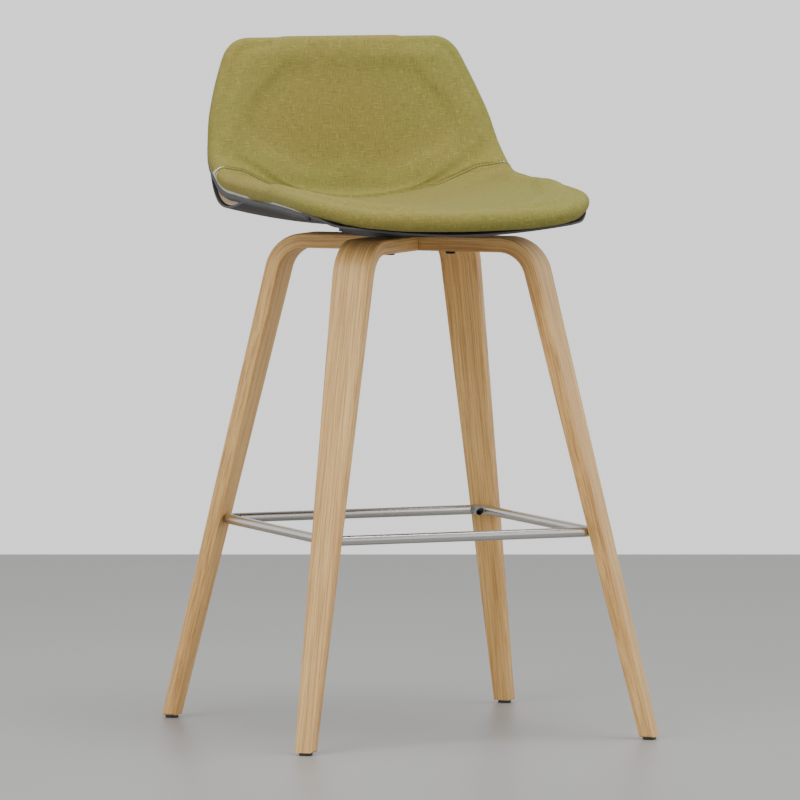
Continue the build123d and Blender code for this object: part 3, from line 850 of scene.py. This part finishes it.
def sew(pad):
    """Presses the seam's groove and the row of topstitching into the pad."""
    strips, distance = seam_distances(pad)
    normals = vertex_normals(pad.points, pad.faces)
    rise = np.zeros_like(distance)
    for height, place, width in RELIEF:
        rise += height * np.exp(-((distance - place) / width) ** 2)
    flat = strips.ravel()
    pad.points[flat] += normals[flat] * rise.ravel()[:, None]


def line_at(pad, offset):
    """The line at a distance from the seam, with the surface's directions there."""
    strips, distance = seam_distances(pad)
    normals = vertex_normals(pad.points, pad.faces)
    lines = []
    for data in (pad.points, normals):
        lines.append(np.array([
            [np.interp(offset, away, values) for values in data[spots].T]
            for spots, away in zip(strips.T, distance.T)
        ]))
    return lines


def stitch_row(name, pad, offset, material):
    """A row of slightly arched stitches along the seam, as one piece."""
    points, ups = line_at(pad, offset)
    keep = slice(4, -4)
    points, ups = points[keep], ups[keep]
    length = np.concatenate([[0], np.cumsum(np.linalg.norm(np.diff(points, axis=0), axis=-1))])
    sides, rings = THREAD_SIDES, THREAD_RINGS
    vertices, faces = [], []
    start = STITCH_PITCH / 2
    while start + STITCH_LENGTH < length[-1]:
        first = len(vertices)
        for ring in range(rings):
            share = ring / (rings - 1)
            at = start + STITCH_LENGTH * share
            spot, ahead, up = (
                np.array([np.interp(at + more, length, data[:, axis]) for axis in range(3)])
                for data, more in ((points, 0), (points, 0.5), (ups, 0))
            )
            along = (ahead - spot) / np.linalg.norm(ahead - spot)
            side = np.cross(along, up)
            side /= np.linalg.norm(side)
            arch = math.sin(math.pi * share)
            centre = spot + up * (THREAD_LIFT + 0.35 * arch - 0.25)
            radius = THREAD_RADIUS * (0.35 + 0.65 * math.sqrt(arch))
            for k in range(sides):
                angle = 2 * math.pi * k / sides
                vertices.append(centre + radius * (math.cos(angle) * side + math.sin(angle) * up))
        for ring in range(rings - 1):
            for k in range(sides):
                low = first + ring * sides
                following = (k + 1) % sides
                faces.append([low + k, low + following, low + sides + following, low + sides + k])
        faces.append([first + k for k in range(sides)][::-1])
        faces.append([first + (rings - 1) * sides + k for k in range(sides)])
        start += STITCH_PITCH
    piece = mesh_object(name, np.array(vertices), faces)
    piece.data.materials.append(material)
    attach(piece, "root")


def cover_piece(name, pad, rows, node, material):
    """One fabric panel: the faces between some rows, with its seam allowance turned in."""
    faces = [face for face, row in zip(pad.faces, pad.face_row) if row in rows]
    strip = pad.strip(pad.seam_row)
    normals = vertex_normals(pad.points, pad.faces)
    allowance = pad.points[strip] - normals[strip] * ALLOWANCE
    points = np.concatenate([pad.points, allowance])
    uv = np.concatenate([pad.uv, pad.uv[strip]])
    first = len(pad.points)
    for k in range(len(strip) - 1):
        quad = [strip[k], strip[k + 1], first + k + 1, first + k]
        faces.append(quad if rows[0] else quad[::-1])
    used = sorted({v for face in faces for v in face})
    renumber = {old: new for new, old in enumerate(used)}
    faces = [[renumber[v] for v in face] for face in faces]
    piece = mesh_object(name, points[used], faces, uv[used])
    piece.data.materials.append(material)
    smooth = piece.modifiers.new("subdivision", "SUBSURF")
    smooth.levels = smooth.render_levels = 1
    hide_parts(node)
    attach(piece, "root")


def foam_piece(material):
    """The foam body inside the cover."""
    body = Pad(FOAM_INSET)
    piece = mesh_object("pad_foam", body.points, body.faces)
    piece.data.materials.append(material)
    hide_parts("seat_foam")
    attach(piece, "root")


def shell_edge(pad, material):
    """The outer shell's upright edge along the pad's sides and back."""
    outermost = pad.centre + pad.outward
    around = [k for k in range(pad.loop_count) if outermost[k, 1] > EDGE_FRONT]
    first = next(n for n in range(len(around)) if around[n] - around[n - 1] != 1)
    around = around[first:] + around[:first]
    profile = [pad.rim_point(depth, margin)[around] for depth, margin in EDGE_PROFILE]
    count = len(around)
    points = np.concatenate(profile)
    faces = []
    for ring in range(len(profile)):
        following = (ring + 1) % len(profile)
        for k in range(count - 1):
            low, high = ring * count + k, following * count + k
            faces.append([low, low + 1, high + 1, high])
    faces.append([ring * count for ring in range(len(profile))])
    faces.append([ring * count + count - 1 for ring in reversed(range(len(profile)))])
    piece = mesh_object("shell_edge", points, faces)
    piece.data.materials.append(material)
    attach(piece, "root")


def add_seat():
    """The padded seat: two sewn panels over foam, and their stitches."""
    pad = Pad(COVER_INSET)
    shell_edge(pad, NODES["seat_shell_outer"].data.materials[0])
    fill_cover(pad)
    sew(pad)
    material = linen("linen")
    cover_piece("cover_seat", pad, range(0, pad.seam_row), "seat_cover_seat", material)
    cover_piece("cover_back", pad, range(pad.seam_row, pad.rows), "seat_cover_back", material)
    foam_piece(foam("pad_foam"))
    yarn = thread("thread")
    stitch_row("stitches_upper", pad, 0.0, yarn)
    stitch_row("stitches_lower", pad, STITCH_ROW, yarn)


# ---- Stage --------------------------------------------------------------------------------
WORLD_STRENGTH = 1.42
WORLD_LEVELS = ((0.0, 0.90), (0.25, 0.86), (0.55, 0.30))    # brightness by height


def add_stage():
    """A plain floor whose far edge is the horizon against a pale background."""
    corners = ((-1, -FLOOR_FRONT), (1, -FLOOR_FRONT), (1, FLOOR_BACK), (-1, FLOOR_BACK))
    places = [in_view_frame(side * FLOOR_HALF_WIDTH, away, 0) for side, away in corners]
    floor = mesh_object("floor", np.array(places) * 1000, [[0, 1, 2, 3]])
    shader = Shader("floor", (0.33, 0.33, 0.325), 0.42)
    cloud = shader.noise(shader.place(), 1.6, 4.0)
    shader.colour(shader.ramp(cloud, (0.3, (0.300, 0.298, 0.294)), (0.7, (0.345, 0.342, 0.336))))
    shader.roughness(shader.math("MULTIPLY_ADD", cloud, 0.12, 0.36))
    floor.data.materials.append(shader.material)
    world = bpy.data.worlds.new("studio")
    world.use_nodes = True
    background = world.node_tree.nodes["Background"]
    background.inputs["Strength"].default_value = WORLD_STRENGTH
    tree = world.node_tree
    height = tree.nodes.new("ShaderNodeSeparateXYZ")
    fade = tree.nodes.new("ShaderNodeValToRGB")
    tree.links.new(tree.nodes.new("ShaderNodeTexCoord").outputs["Generated"], height.inputs[0])
    tree.links.new(height.outputs[2], fade.inputs[0])
    tree.links.new(fade.outputs[0], background.inputs[0])
    fade.color_ramp.elements.new(0.5)
    for element, (position, level) in zip(fade.color_ramp.elements, WORLD_LEVELS):
        element.position = position
        element.color = (level, level, level * 0.995, 1)
    bpy.context.scene.world = world


def add_lights():
    """Large soft lights."""
    target = (0, 0, 0.6)
    add_light("key", in_view_frame(-1.6, -2.2, 2.9), target, (2.0, 2.0), 62)
    add_light("top", in_view_frame(0.4, -0.2, 3.2), target, (1.6, 1.6), 62)
    add_light("right", in_view_frame(2.8, -1.2, 1.8), target, (1.6, 2.2), 22)


add_camera()
add_stage()
add_lights()
paint_nodes()
add_seat()
